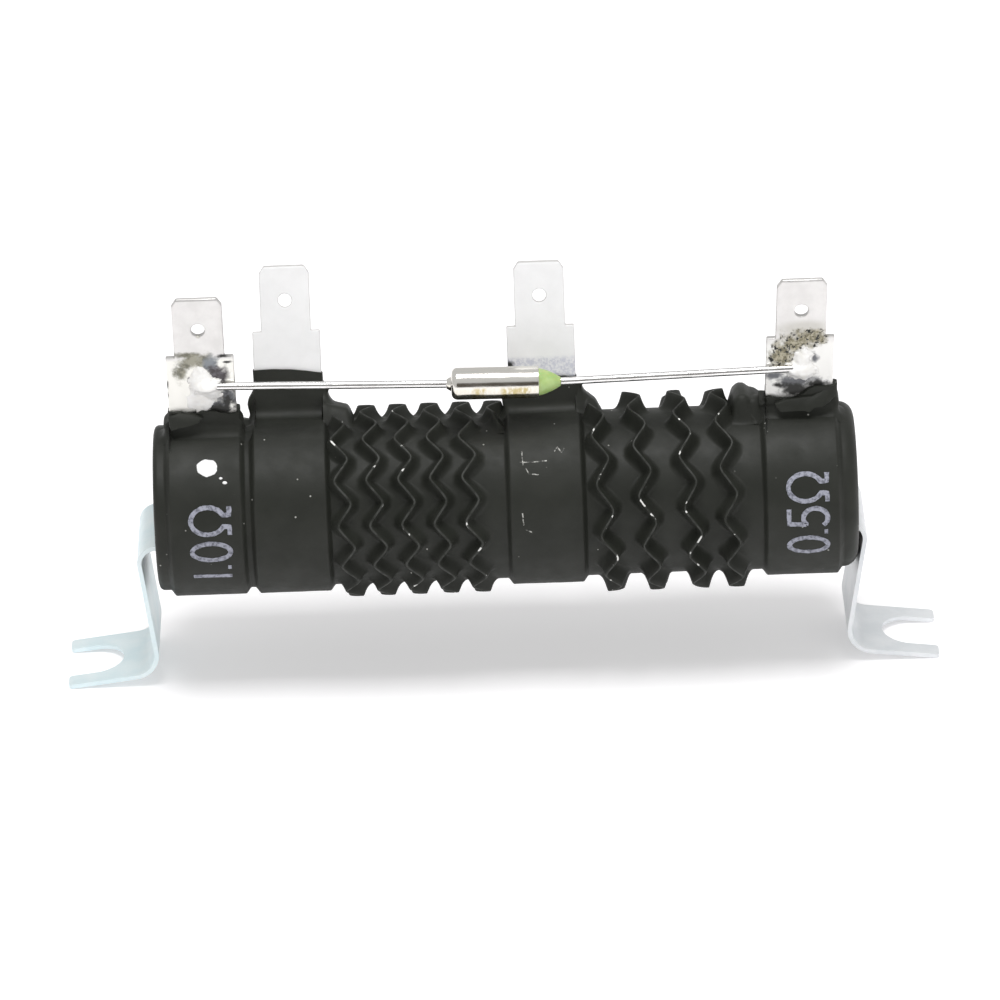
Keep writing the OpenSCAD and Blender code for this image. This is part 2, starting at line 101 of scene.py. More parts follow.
def on_tube(x, angle, r):
    """Point at a distance x along the tube, an angle from the top towards the front, and a radius."""
    a = math.radians(angle)
    return CENTRE + Vector((x, -r * math.sin(a), r * math.cos(a)))


def ease(t):
    """Soft step from 0 to 1."""
    c = max(0.0, min(1.0, t))
    return c * c * (3 - 2 * c)


def mix(a, b, t):
    """Value between a and b."""
    return a + (b - a) * t


def rough(point, size, seed):
    """Smooth noise between about -1 and 1, with bumps of a given size."""
    return noise.noise(Vector(point) / size + Vector((seed, 1.7 * seed, 0.3 * seed)))


def waves(point, kinds, seed=0.0):
    """Sum of several kinds of bumps, each given as (height, length, step of the seed)."""
    return sum(height * rough(point, length, seed + step) for height, length, step in kinds)


# Meshes


def new_object(name, bm, smooth_angle=None):
    """Turns a bmesh into an object that is shaded smooth, with sharp edges past an angle."""
    bmesh.ops.recalc_face_normals(bm, faces=bm.faces)
    mesh = bpy.data.meshes.new(name)
    bm.to_mesh(mesh)
    bm.free()
    mesh.shade_smooth()
    if smooth_angle is not None:
        mesh.set_sharp_from_angle(angle=math.radians(smooth_angle))
    obj = bpy.data.objects.new(name, mesh)
    bpy.context.scene.collection.objects.link(obj)
    return obj


def add_rings(bm, rings, loop=False):
    """Quads through closed rings of points; the last ring joins the first, or both ends are capped."""
    made = [[bm.verts.new(p) for p in ring] for ring in rings]
    pairs = list(zip(made, made[1:]))
    if loop:
        pairs.append((made[-1], made[0]))
    else:
        bm.faces.new(made[0])
        bm.faces.new(made[-1])
    for first, second in pairs:
        count = len(first)
        for i in range(count):
            k = (i + 1) % count
            bm.faces.new((first[i], first[k], second[k], second[i]))


def dress(obj, material, replaced=()):
    """Gives a new piece its material, its body and the nodes that it stands for."""
    obj.data.materials.append(material)
    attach(obj, "root")
    if replaced:
        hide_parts(*replaced)


# Materials

# Range in which most of a noise's values lie
NOISE_RANGE = (0.2, 0.8)
# Distances from a patch's middle, as shares of its half size, at which it is gone and full
PATCH_RANGE = (1.45, 0.45)


class Nodes:
    """A node tree, with short ways to add and join nodes."""

    def __init__(self, tree):
        self.tree = tree

    def put(self, socket, value):
        """Joins a node's output to a socket, or sets the socket to a plain value."""
        if isinstance(value, bpy.types.NodeSocket):
            self.tree.links.new(value, socket)
        else:
            socket.default_value = value

    def add(self, kind, inputs=None, **settings):
        """New node with some of its settings, and with values or outputs for some of its inputs."""
        node = self.tree.nodes.new(kind)
        for key, value in settings.items():
            setattr(node, key, value)
        for key, value in (inputs or {}).items():
            self.put(node.inputs[key], value)
        return node

    def math(self, operation, a, b=0.0):
        """Result of an operation on numbers or outputs."""
        return self.add("ShaderNodeMath", {0: a, 1: b}, operation=operation).outputs[0]

    def fold(self, operation, *values):
        """Result of an operation on several values, one after another."""
        total = values[0]
        for value in values[1:]:
            total = self.math(operation, total, value)
        return total

    def vector(self, operation, a, b):
        """Result of an operation on vectors."""
        node = self.add("ShaderNodeVectorMath", {0: a, 1: b}, operation=operation)
        return node.outputs["Value" if operation == "DOT_PRODUCT" else "Vector"]

    def span(self, value, low, high, to_low=0.0, to_high=1.0, smooth=True):
        """Maps a range of a value onto another, softly unless smooth is off; low may be above high."""
        inputs = {"Value": value, "From Min": low, "From Max": high, "To Min": to_low, "To Max": to_high}
        step = "SMOOTHSTEP" if smooth else "LINEAR"
        return self.add("ShaderNodeMapRange", inputs, interpolation_type=step).outputs["Result"]

    def between(self, noise_value, low, high):
        """Value that a noise moves between two ends."""
        return self.span(noise_value, *NOISE_RANGE, low, high)

    def blend(self, fac, a, b):
        """Colour between a and b."""
        a, b = (c if isinstance(c, bpy.types.NodeSocket) else (*c, 1.0) for c in (a, b))
        node = self.add("ShaderNodeMix", {"Factor": fac, "A": a, "B": b}, data_type="RGBA")
        return node.outputs["Result"]


class Shader(Nodes):
    """The nodes of a new material, with its main shader and the place on the object."""

    def __init__(self, name):
        self.material = bpy.data.materials.new(name)
        self.material.use_nodes = True
        super().__init__(self.material.node_tree)
        self.tree.nodes.clear()
        self.bsdf = self.add("ShaderNodeBsdfPrincipled")
        self.add("ShaderNodeOutputMaterial", {"Surface": self.bsdf.outputs[0]})
        self.place = self.add("ShaderNodeTexCoord").outputs["Object"]

    def made(self, **values):
        """Sets sockets of the main shader, named with _ for a space, and returns the material."""
        for key, value in values.items():
            self.put(self.bsdf.inputs[key.replace("_", " ")], value)
        return self.material

    def noise(self, size, detail=3.0, roughness=0.55, place=None):
        """Noise with features of a given size in metres."""
        inputs = {"Scale": 1 / size, "Detail": detail, "Roughness": roughness}
        return self.add("ShaderNodeTexNoise", {"Vector": place or self.place, **inputs}).outputs["Fac"]

    def cells(self, size):
        """Distance to the nearest of scattered points, about a given size apart."""
        inputs = {"Vector": self.place, "Scale": 1 / size}
        return self.add("ShaderNodeTexVoronoi", inputs).outputs["Distance"]

    def stretched(self, scale):
        """The place, stretched along its axes."""
        return self.vector("MULTIPLY", self.place, scale)

    def bump(self, height, depth, normal=None):
        """Bumps of a given depth, on top of another normal if there is one."""
        inputs = {"Strength": 1.0, "Distance": depth, "Height": height}
        if normal is not None:
            inputs["Normal"] = normal
        return self.add("ShaderNodeBump", inputs).outputs["Normal"]

    def offset(self, spot):
        """Place as measured from a spot: x, y and z."""
        moved = self.vector("SUBTRACT", self.place, spot)
        return tuple(self.add("ShaderNodeSeparateXYZ", {0: moved}).outputs)

    def length(self, a, b):
        """Length of a vector that has two parts."""
        squares = self.math("ADD", self.math("MULTIPLY", a, a), self.math("MULTIPLY", b, b))
        return self.math("SQRT", squares)

    def patches(self, place, warp, *spots):
        """Share of uneven patches on a neck; spots are (x, up, half width, half height) in mm."""
        across, up, front = place
        shares = []
        for x, z, half_w, half_h in spots:
            off_x = self.math("DIVIDE", self.math("SUBTRACT", across, x * MM), half_w * MM)
            off_z = self.math("DIVIDE", self.math("SUBTRACT", up, z * MM), half_h * MM)
            away = self.math("ADD", self.length(off_x, off_z), warp)
            shares.append(self.span(away, *PATCH_RANGE))
        return self.math("MULTIPLY", self.fold("MAXIMUM", *shares), front)

    def clear_of(self, *shares):
        """Share that is left where none of some shares lie."""
        return self.math("SUBTRACT", 1.0, self.fold("MAXIMUM", *shares))


# Colours, as linear values; a pair is the two ends of a blend
CHARCOAL = (0.0165, 0.018, 0.014)
CHARCOAL_PALE = (0.0225, 0.024, 0.0195)
DUST = (0.45, 0.45, 0.42)
WORN_EDGE = (0.05, 0.052, 0.047)
CHIP = (0.86, 0.86, 0.83)
INK = ((0.13, 0.135, 0.165), (0.36, 0.37, 0.44))
WHITE_PAINT = ((0.8, 0.8, 0.82), (0.9, 0.9, 0.9))
SCRATCH = (CHARCOAL_PALE, (0.62, 0.62, 0.58))
TIN_MATTE = ((0.765, 0.752, 0.738), (0.835, 0.822, 0.808))
# Paler tin of the taps, partly painted light: it stands in for the top light that the backward-leaning
# taps catch; the wire takes its first colour
TIN_PALE_LIT = ((0.93, 0.93, 0.93), (0.97, 0.97, 0.97))
WIRE = (TIN_PALE_LIT[0], TIN_MATTE[0])
FROST = (0.62, 0.63, 0.7)
PALE_FLUX = (0.95, 0.94, 0.89)
PALE_TIN = (0.9, 0.895, 0.87)
CUT_STEEL = (0.62, 0.61, 0.595)
# Grey of thin smoke, which also paints the shade in a dent on the left neck and a shadow above the right
# joint's flux
SMOKE_THIN_AND_SHADE = (0.4, 0.385, 0.31)
SMOKE = ((0.17, 0.165, 0.125), SMOKE_THIN_AND_SHADE)
HAZE = (0.27, 0.295, 0.32)
BURNT = ((0.06, 0.05, 0.055), (0.14, 0.13, 0.145))
ASH = (0.16, 0.165, 0.18)
# Near black of soot; on the left neck it also paints the shade of the gap above the flake
SOOT = (0.02, 0.02, 0.018)
FLUX = ((0.2, 0.18, 0.11), (0.52, 0.48, 0.36))
SOLDER = ((0.99, 0.985, 0.97), (0.93, 0.915, 0.88))
NICKEL = ((0.84, 0.82, 0.77), (0.55, 0.46, 0.24))
RESIN = ((0.47, 0.62, 0.25), (0.37, 0.53, 0.175))
ZINC_BLUE = ((0.75, 0.88, 0.91), (0.84, 0.93, 0.945))
ZINC_GREY = ((0.75, 0.78, 0.8), (0.84, 0.86, 0.875))
CERAMIC = ((0.84, 0.8, 0.72), (0.75, 0.7, 0.62))
FLOOR_WHITE = (0.9, 0.89, 0.9)
STUDIO_WHITE = (1.0, 1.0, 1.0)
STUDIO_DARK = (0.15, 0.135, 0.115)

# Depths under a ribbon's crown at which its coat starts to wear and is most worn
WEAR_START = 0.07 * MM
WEAR_FULL = 0.01 * MM
# How squarely a face lies to its terminal's sheet where it is a cut edge, and where it is tinned
CUT_FACING = 0.75
TINNED_FACING = 0.95
# Heat stains under the can: place along it, and half lengths where they are full and gone, in mm
CAN_STAINS = ((-1.8, 0.6, 1.2), (2.9, 1.4, 2.3))


def coat_material(name, crown=None):
    """Satin black enamel with fine grain and dust; near a crown's radius it is worn, with bare chips."""
    s = Shader(name)
    colour = s.blend(s.span(s.noise(6 * MM, detail=4), 0.35, 0.7), CHARCOAL, CHARCOAL_PALE)
    near_speck = s.span(s.cells(2.1 * MM), 0.07, 0.03)
    dusty = s.span(s.noise(7 * MM, detail=2), 0.44, 0.52)
    colour = s.blend(s.math("MULTIPLY", near_speck, dusty), colour, DUST)
    if crown is not None:
        _, y, z = s.offset(CENTRE)
        edge = s.span(s.length(y, z), crown - WEAR_START, crown - WEAR_FULL)
        patchy = s.span(s.noise(1.2 * MM), 0.35, 0.65)
        colour = s.blend(s.math("MULTIPLY", edge, patchy), colour, WORN_EDGE)
        chips = s.math("MULTIPLY", edge, s.span(s.noise(2.2 * MM, detail=2), 0.655, 0.675))
        colour = s.blend(chips, colour, CHIP)
    swell = s.bump(s.noise(3.5 * MM, detail=2), 0.05 * MM)
    return s.made(
        Base_Color=colour,
        Roughness=s.between(s.noise(2.5 * MM), 0.48, 0.62),
        Specular_IOR_Level=0.3,
        Normal=s.bump(s.noise(0.35 * MM, detail=2), 0.012 * MM, swell),
    )


def ragged(s):
    """Noise that makes the rims of patches uneven."""
    return s.span(s.noise(1.2 * MM, detail=4, roughness=0.6), 0.25, 0.75, -0.65, 0.65, smooth=False)


def cloudy(s, size, colours):
    """Colour of a stain that is thicker in some places."""
    return s.blend(s.span(s.noise(size, roughness=0.6), 0.38, 0.64), *colours)


def neck_place(s, terminal):
    """Place on a neck: across it and up it from its joint, and how much of a stain its side shows."""
    across, deep, up = s.offset(neck_frame(terminal)(0, -STRAP_T / 2, JOINT_RADII[terminal]))
    lean = math.tan(math.radians(CLOCKS[terminal]))
    behind = s.math("ADD", deep, s.math("MULTIPLY", up, lean))
    return across, up, s.span(behind, 0.3 * STRAP_T, 0.8 * STRAP_T, 1.0, 0.25)


def smoke_stain_and_shade(s, base):
    """Pale flux on the left neck, smoky and burnt round the joint, with painted shade in a dent and in the
    gap above the flake; returns colour and bareness.
    """
    place = neck_place(s, "end_left")
    warp = ragged(s)
    base = s.blend(s.span(place[1], 3.9 * MM, 3.3 * MM), base, PALE_FLUX)
    # Painted shade: a small dent high on the neck is darkened with the thin smoke grey
    dent_shade = s.patches(place, 0.0, (0.0, 6.95, 0.3, 0.22))
    base = s.blend(s.math("MULTIPLY", dent_shade, 0.45), base, SMOKE_THIN_AND_SHADE)
    smoke = s.patches(
        place, warp,
        (-2.3, 1.9, 0.9, 1.3), (-1.9, 2.9, 1.1, 0.9), (-0.8, 3.5, 1.2, 0.9),
        (0.4, 3.5, 1.2, 1.0), (-1.4, 4.3, 2.0, 0.4),
    )
    haze = s.patches(place, warp, (1.4, 2.9, 0.9, 1.2))
    burnt = s.patches(place, warp, (2.2, 1.3, 1.4, 1.4), (-1.45, 0.7, 0.3, 0.5), (-1.3, -0.3, 0.25, 0.35))
    ash = s.patches(place, warp, (3.2, -1.8, 1.3, 1.4), (1.9, -3.2, 2.0, 0.8))
    # These patches are soot, except the thin band at (-2.6, -4.2), which lies along the coat's torn top
    # edge and paints the shade of the gap between metal and coat above the flake
    soot = s.patches(
        place, warp,
        (2.2, -3.7, 1.8, 0.7), (-2.6, -4.2, 2.4, 0.35), (3.2, 4.1, 1.0, 0.25),
        (3.4, 3.2, 0.6, 0.2), (-4.3, 0.0, 0.2, 0.5), (-4.3, -1.4, 0.16, 0.4),
    )
    base = s.blend(smoke, base, cloudy(s, 1.1 * MM, SMOKE))
    base = s.blend(haze, base, HAZE)
    base = s.blend(burnt, base, cloudy(s, 0.8 * MM, BURNT))
    base = s.blend(ash, base, cloudy(s, 1.0 * MM, (SOOT, ASH)))
    base = s.blend(soot, base, SOOT)
    return base, s.clear_of(smoke, haze, burnt, ash, soot)


def speck_stain_and_shade(s, base):
    """Olive flux with black specks over the right joint and soot under it, with a painted shadow on the
    tab above the flux; returns colour and bareness.
    """
    place = neck_place(s, "end_right")
    warp = ragged(s)
    base = s.blend(s.span(place[1], 4.0 * MM, 3.0 * MM), base, PALE_TIN)
    # Painted shadow: a soft grey band on the tab above the flux
    shade = s.patches(place, 0.0, (0.8, 5.6, 3.2, 1.0))
    base = s.blend(s.math("MULTIPLY", shade, 0.4), base, SMOKE_THIN_AND_SHADE)
    flux = s.patches(place, warp, (-1.8, 1.8, 1.5, 2.1), (-0.9, 3.3, 1.7, 1.5), (1.2, 4.1, 2.2, 1.2))
    small = s.span(s.noise(0.4 * MM, roughness=0.6), 0.55, 0.62)
    large = s.span(s.noise(0.9 * MM, roughness=0.6), 0.58, 0.63)
    specks = s.math("MULTIPLY", s.math("MAXIMUM", small, large), s.span(flux, 0.15, 0.5))
    ash = s.patches(place, warp, (-0.4, -2.3, 2.9, 0.9), (-3.2, -1.3, 1.1, 0.6), (2.0, 1.1, 0.5, 0.8))
    soot = s.patches(place, warp, (-0.1, -3.7, 2.5, 1.1), (-2.7, -2.7, 0.8, 0.5), (1.8, -2.7, 1.4, 0.5))
    base = s.blend(flux, base, cloudy(s, 0.45 * MM, FLUX))
    base = s.blend(specks, base, SOOT)
    base = s.blend(ash, base, ASH)
    base = s.blend(soot, base, SOOT)
    return base, s.clear_of(flux, ash, soot)


def frost_stain(s, base):
    """Frosty film above the centre tap's black coat, with a black chip; returns colour and bareness."""
    across, _, up = s.offset(neck_frame("tap_centre")(0, 0, STRAP_R + TAP_RISE))
    zone = s.span(up, 1.1 * MM, 0.3 * MM)
    grain = s.span(s.noise(0.45 * MM, detail=4, roughness=0.7), 0.4, 0.6, 0.3, 1.0)
    frost = s.math("MULTIPLY", zone, grain)
    base = s.blend(frost, base, FROST)
    chip = s.patches((across, up, 1.0), ragged(s), (-4.15, -0.1, 0.5, 0.5))
    return s.blend(chip, base, SOOT), s.clear_of(frost, chip)


def tin_material(name, terminal, colours, roughness, metal, stain):
    """Tinned steel with drawn lines, blotches, bare cut edges and the stains and painted shade that a
    function may add.
    """
    s = Shader(name)
    base = s.blend(s.span(s.noise(1.8 * MM, detail=4), 0.3, 0.75), *colours)
    clock = math.radians(CLOCKS[terminal])
    normal = s.add("ShaderNodeNewGeometry").outputs["True Normal"]
    squarely = s.vector("DOT_PRODUCT", normal, (0.0, math.cos(clock), math.sin(clock)))
    facing = s.math("ABSOLUTE", squarely)
    base = s.blend(s.span(facing, TINNED_FACING, CUT_FACING), base, CUT_STEEL)
    lines = s.noise(0.5 * MM, place=s.stretched((1.0, 1.0, 0.12)))
    metallic = metal
    if stain is not None:
        base, bare = stain(s, base)
        metallic = s.math("MULTIPLY", bare, metal)
    return s.made(
        Base_Color=base,
        Metallic=metallic,
        Roughness=s.between(lines, roughness - 0.06, roughness + 0.06),
        Normal=s.bump(lines, 0.005 * MM),
    )


def nickel_material():
    """Bright nickel can with brown heat stains underneath."""
    s = Shader("nickel_can")
    low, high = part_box("fuse_case")
    along, _, up = s.offset((low + high) / 2)
    under = s.span(up, 0.5 * MM, 0.0)
    cloud = s.span(s.noise(0.32 * MM, detail=4, place=s.stretched((1.0, 0.4, 0.4))), 0.3, 0.6, 0.2, 1.0)
    spots = 0.2
    for x, full, gone in CAN_STAINS:
        away = s.math("ABSOLUTE", s.math("SUBTRACT", along, x * MM))
        spots = s.math("MAXIMUM", spots, s.span(away, gone * MM, full * MM))
    stain = s.fold("MULTIPLY", under, cloud, spots)
    fine = s.noise(0.4 * MM, place=s.stretched((0.15, 1.0, 1.0)))
    return s.made(
        Base_Color=s.blend(stain, *NICKEL),
        Metallic=1.0,
        Roughness=s.between(fine, 0.12, 0.22),
        Normal=s.bump(fine, 0.004 * MM),
    )


def resin_material():
    """Green sealing resin, a little clear."""
    s = Shader("green_resin")
    return s.made(
        Base_Color=s.blend(s.span(s.noise(1.4 * MM), 0.3, 0.75), *RESIN),
        Roughness=s.between(s.noise(0.8 * MM), 0.32, 0.46),
        Subsurface_Weight=0.25,
        Subsurface_Scale=0.6 * MM,
        Normal=s.bump(s.noise(0.6 * MM), 0.03 * MM),
    )


def zinc_material(name, colours):
    """Zinc-plated strip with soft blotches."""
    s = Shader(name)
    fine = s.noise(0.5 * MM, place=s.stretched((0.2, 1.0, 0.2)))
    return s.made(
        Base_Color=s.blend(s.span(s.noise(4.5 * MM, detail=4), 0.3, 0.7), *colours),
        Metallic=0.4,
        Roughness=s.between(fine, 0.34, 0.48),
        Normal=s.bump(fine, 0.006 * MM),
    )


def solder_material():
    """Bright solder, dulled in places."""
    s = Shader("solder")
    return s.made(
        Base_Color=s.blend(s.span(s.noise(0.9 * MM, detail=4), 0.35, 0.7), *SOLDER),
        Metallic=0.1,
        Roughness=s.span(s.noise(0.6 * MM), 0.25, 0.75, 0.36, 0.54),
        Normal=s.bump(s.noise(0.6 * MM, detail=4), 0.02 * MM),
    )


def wire_material():
    """Bright tinned wire with fine drawn lines."""
    s = Shader("tinned_wire")
    fine = s.noise(0.25 * MM, place=s.stretched((0.06, 1.0, 1.0)))
    return s.made(
        Base_Color=s.blend(s.span(fine, 0.3, 0.7), *WIRE),
        Metallic=1.0,
        Roughness=s.between(fine, 0.16, 0.28),
        Normal=s.bump(fine, 0.01 * MM),
    )


def ceramic_material():
    """Unglazed ceramic."""
    s = Shader("ceramic")
    return s.made(
        Base_Color=s.blend(s.span(s.noise(2.2 * MM, detail=4), 0.3, 0.7), *CERAMIC),
        Roughness=0.8,
        Normal=s.bump(s.noise(0.3 * MM), 0.02 * MM),
    )


def ink_material(name, colours, cover):
    """Ink or paint that is thin where a noise falls below a level, cover."""
    s = Shader(name)
    gaps = s.span(s.noise(0.45 * MM, detail=4, roughness=0.65), cover - 0.1, cover + 0.14)
    return s.made(
        Base_Color=s.blend(gaps, *colours),
        Roughness=0.55,
        Normal=s.bump(s.noise(0.25 * MM, detail=2), 0.01 * MM),
    )


# Enamel coat

# Lumps of coat over the welded ends of the ribbons: the angles between which a lump is highest, and its
# heights along the tube as (x, height), in degrees and mm
WELD_LUMPS = (
    ((-42, -10), ((-22.9, 2.75), (-22.5, 2.7), (-22.0, 2.4), (-19.6, 1.8), (-19.1, 0.1))),
    ((-42, -12), (
        (9.3, 3.2), (9.8, 3.1), (10.1, 2.6), (10.9, 2.4), (11.4, 1.9), (12.0, 1.5), (12.5, 0.1),
    )),
    ((-40, 1), (
        (28.8, 0.1), (29.1, 2.1), (29.7, 2.5), (29.9, 2.85),
        (31.0, 2.8), (31.3, 2.3), (32.1, 2.2), (33.1, 1.5),
    )),
)
# Angle in which a lump falls off on both sides
LUMP_REACH = 13
# Shifts over which a lump's profile is averaged, in mm
LUMP_BLUR = (-0.3, -0.15, 0, 0.15, 0.3)
# Rise and fall of the dipped coat
COAT_WAVES = ((0.06 * MM, 8 * MM, 3.1), (0.025 * MM, 2.4 * MM, 8.2))
# The coat's mesh: points round it, steps along it in the open, at lumps and at the least, and at ends
SKIN_AROUND = 300
SKIN_STEP = 0.9 * MM
LUMP_STEP = 0.16 * MM
LEAST_STEP = 0.06 * MM
END_STEPS = 8


def band_lift(x):
    """Share of the strap's thickness by which the coat stands up at a place along the tube."""
    return max(ease((BAND_HALF + EDGE_SOFT - abs(x - b)) / (2 * EDGE_SOFT)) for b in BAND_XS.values())


def profile_height(profile, x):
    """Height of a profile at a place along the tube, in mm."""
    x = max(profile[0][0], min(x, profile[-1][0]))
    for (x0, h0), (x1, h1) in zip(profile, profile[1:]):
        if x <= x1:
            return mix(h0, h1, (x - x0) / (x1 - x0))


def weld_lift(x, angle):
    """Height of the coat's lumps over the ribbons' welded ends."""
    lift = 0.0
    for (low_a, high_a), profile in WELD_LUMPS:
        side = max(low_a - angle, angle - high_a, 0) / LUMP_REACH
        if side < 1 and profile[0][0] * MM <= x <= profile[-1][0] * MM:
            near = [profile_height(profile, x / MM + shift) for shift in LUMP_BLUR]
            lift = max(lift, sum(near) / len(near) * MM * ease(1 - side))
    return lift


def uneven(x, angle):
    """Small rise and fall of a dipped coat."""
    return waves(on_tube(x, angle, COAT_R), COAT_WAVES)


def coat_radius(x, angle):
    """Radius of the coat's surface."""
    wrapped = (angle + 180) % 360 - 180
    r = COAT_R + STRAP_T * band_lift(x)
    for end, round_r in ((-1, ROUND_LEFT), (1, ROUND_RIGHT)):
        past = end * x - (BODY_HALF - round_r)
        if past > 0:
            r -= round_r - math.sqrt(max(0.0, round_r ** 2 - past ** 2))
    lump = weld_lift(x, wrapped)
    if lump > 0:
        r = max(r, COAT_R + lump)
    return r + uneven(x, wrapped)


def on_coat(x, angle, lift):
    """Point at a height above the coat's surface."""
    return on_tube(x, angle, coat_radius(x, angle) + lift)


def skin_places():
    """Places along the tube for the coat's rings, close together at steps, lumps and ends."""
    places = [-BODY_HALF + i * SKIN_STEP for i in range(int(2 * BODY_HALF / SKIN_STEP) + 1)]
    for band_x in BAND_XS.values():
        for side in (-1, 1):
            places += [band_x + side * BAND_HALF + k * EDGE_SOFT / 4 for k in range(-5, 6)]
    for _, profile in WELD_LUMPS:
        low, high = (profile[i][0] * MM for i in (0, -1))
        places += [low + k * LUMP_STEP for k in range(-2, int((high - low) / LUMP_STEP) + 4)]
    for end, round_r in ((-1, ROUND_LEFT), (1, ROUND_RIGHT)):
        bend = [math.sin(math.radians(90 * k / END_STEPS)) for k in range(END_STEPS + 1)]
        places += [end * (BODY_HALF - round_r + round_r * b) for b in bend]
    kept = []
    for x in sorted(places):
        if abs(x) <= BODY_HALF and (not kept or x - kept[-1] > LEAST_STEP):
            kept.append(x)
    return kept


def coat_skin(bm):
    """Closed shell over the tube and the straps."""
    outer = skin_places()
    face = CORE_HALF + SKIN_GAP
    inner_r = CORE_R + SKIN_GAP
    hidden = (
        (BODY_HALF, CORE_R - END_WRAP), (face, CORE_R - END_WRAP), (face, inner_r - CORE_EDGE),
        (CORE_HALF - CORE_EDGE, inner_r), (CORE_EDGE - CORE_HALF, inner_r),
        (-face, inner_r - CORE_EDGE), (-face, CORE_R - END_WRAP), (-BODY_HALF, CORE_R - END_WRAP),
    )
    rings = []
    for i in range(SKIN_AROUND):
        angle = 360 * i / SKIN_AROUND
        ring = [on_coat(x, angle, 0) for x in outer]
        rings.append(ring + [on_tube(x, angle, r) for x, r in hidden])
    add_rings(bm, rings, loop=True)


def neck_frame(terminal):
    """Function that takes (x, forward or back, radius) at a terminal's neck to a point."""
    turn = Matrix.Rotation(math.radians(CLOCKS[terminal]), 3, "X")
    start = CENTRE + Vector((BAND_XS[terminal], 0, 0))
    return lambda x, s, r: start + turn @ Vector((x, s, r))


def neck_outline(half_w, front, back, corner, long_steps=40, short_steps=6, corner_steps=4):
    """Points and outward directions round a neck, seen from above, with rounded corners."""
    centres = (
        (half_w - corner, back - corner, 0, long_steps),
        (corner - half_w, back - corner, 90, short_steps),
        (corner - half_w, front + corner, 180, long_steps),
        (half_w - corner, front + corner, 270, short_steps),
    )
    arcs = []
    for x, s, start, steps in centres:
        turns = [math.radians(start + 90 * k / corner_steps) for k in range(corner_steps + 1)]
        ways = [Vector((math.cos(a), math.sin(a))) for a in turns]
        arcs.append(([(Vector((x, s)) + corner * way, way) for way in ways], steps))
    points = []
    for i, (arc, steps) in enumerate(arcs):
        end, after = arc[-1], arcs[(i + 1) % 4][0][0]
        points += arc
        points += [(end[0].lerp(after[0], k / steps), end[1]) for k in range(1, steps)]
    return points


# Lumps on a collar, and how their seed follows from its place
COLLAR_WAVES = ((0.09 * MM, 1.9 * MM, 0),)
COLLAR_SEED = 500


def collar(bm, terminal, edge_height, bulge, right_coat=NECK_EDGE_COAT):
    """Coat that climbs a neck from its band; edge_height gives its upper edge round the neck."""
    to_tube = neck_frame(terminal)
    x0, clock = BAND_XS[terminal], CLOCKS[terminal]
    half_w = STRAP_W / 2
    front = -STRAP_T / 2 - NECK_FACE_COAT
    back = STRAP_T / 2 + NECK_FACE_COAT
    top_r = STRAP_R + COLLAR_RISES[terminal]
    flange_r = STRAP_R + FLANGE_RISE
    fillet_steps, wall_steps = 6, 14
    corner, metal_corner = 0.42 * MM, 0.05 * MM
    sink, depth, fade = 0.03 * MM, 0.4 * MM, 1.4 * MM
    thin_from, thin_over, bulge_at, bulge_spread = 0.32, 0.26, 0.22, 0.16
    rim_inset, rim_rise, rim_drop = 0.45, 0.03 * MM, 0.04 * MM

    def base_r(p):
        """Radius of the band under a point."""
        angle = clock - math.degrees(math.atan2(p.y, BAND_R))
        r = coat_radius(x0 + p.x, angle) - sink
        return math.sqrt(r * r - p.y * p.y)

    def outline(t):
        """Outline at a share of the height."""
        r = mix(BAND_R + NECK_FILLET, top_r, t)
        thin = ease((t - thin_from) / thin_over)
        swell = bulge * math.exp(-((t - bulge_at) / bulge_spread) ** 2)
        left = mix(NECK_SIDE_COAT, NECK_EDGE_COAT, thin) + swell
        right = mix(NECK_SIDE_COAT, right_coat, thin) + swell
        behind = back + STRAP_T * (1 - ease((r - flange_r) / fade))
        points = neck_outline(half_w + (left + right) / 2, front, behind, corner)
        return [(p + Vector(((right - left) / 2, 0)), way) for p, way in points]

    rings = []
    for k in range(fillet_steps):
        a = math.radians(90 * k / fillet_steps)
        spread = NECK_FILLET * (1 - math.sin(a))
        feet = [p + way * spread for p, way in outline(0)]
        rings.append([to_tube(p.x, p.y, base_r(p) + NECK_FILLET * (1 - math.cos(a))) for p in feet])
    starts = [base_r(p) + NECK_FILLET for p, _ in outline(0)]
    tops = [top_r + edge_height(p) for p, _ in outline(1)]
    for k in range(wall_steps + 1):
        t = k / wall_steps
        ring = []
        for (p, way), start, top in zip(outline(t), starts, tops):
            r = mix(start, top, t)
            q = p + way * waves((p.x, p.y, r), COLLAR_WAVES, x0 * COLLAR_SEED) * ease(t * 3)
            ring.append(to_tube(q.x, q.y, r))
        rings.append(ring)
    metal = neck_outline(half_w - SKIN_GAP, -STRAP_T / 2 + SKIN_GAP, STRAP_T / 2 - SKIN_GAP, metal_corner)
    crest = [(p.lerp(q, rim_inset), top) for (p, _), (q, _), top in zip(outline(1), metal, tops)]
    rings.append([to_tube(p.x, p.y, top + rim_rise) for p, top in crest])
    rings.append([to_tube(p.x, p.y, top - rim_drop) for (p, _), top in zip(metal, tops)])
    rings.append([to_tube(p.x, p.y, BAND_R - depth) for p, _ in metal])
    add_rings(bm, rings, loop=True)


def smooth_edge(p):
    """Upper edge of the left tap's coat: a shallow arc that falls to the right."""
    drop, fall, bow, wave = 0.1, 0.3, 0.28, 0.06
    t = p.x / (STRAP_W / 2)
    return (-drop - fall * t - bow * t * t + wave * rough((p.x, p.y, 0), 1.5 * MM, 2.0)) * MM


TEAR_WAVES = ((1.0, 2.4 * MM, 0), (0.4, 0.6 * MM, 4))


def torn_edge(seed, size, left=0.0, right=0.0):
    """Upper edge of a coat that tore off in flakes, with its mean heights at the left and right sides."""
    def height(p):
        step = ease(p.x / (0.35 * STRAP_W) + 0.2)
        return mix(left, right, step) + size * waves((p.x, p.y, 0), TEAR_WAVES, seed)

    return height


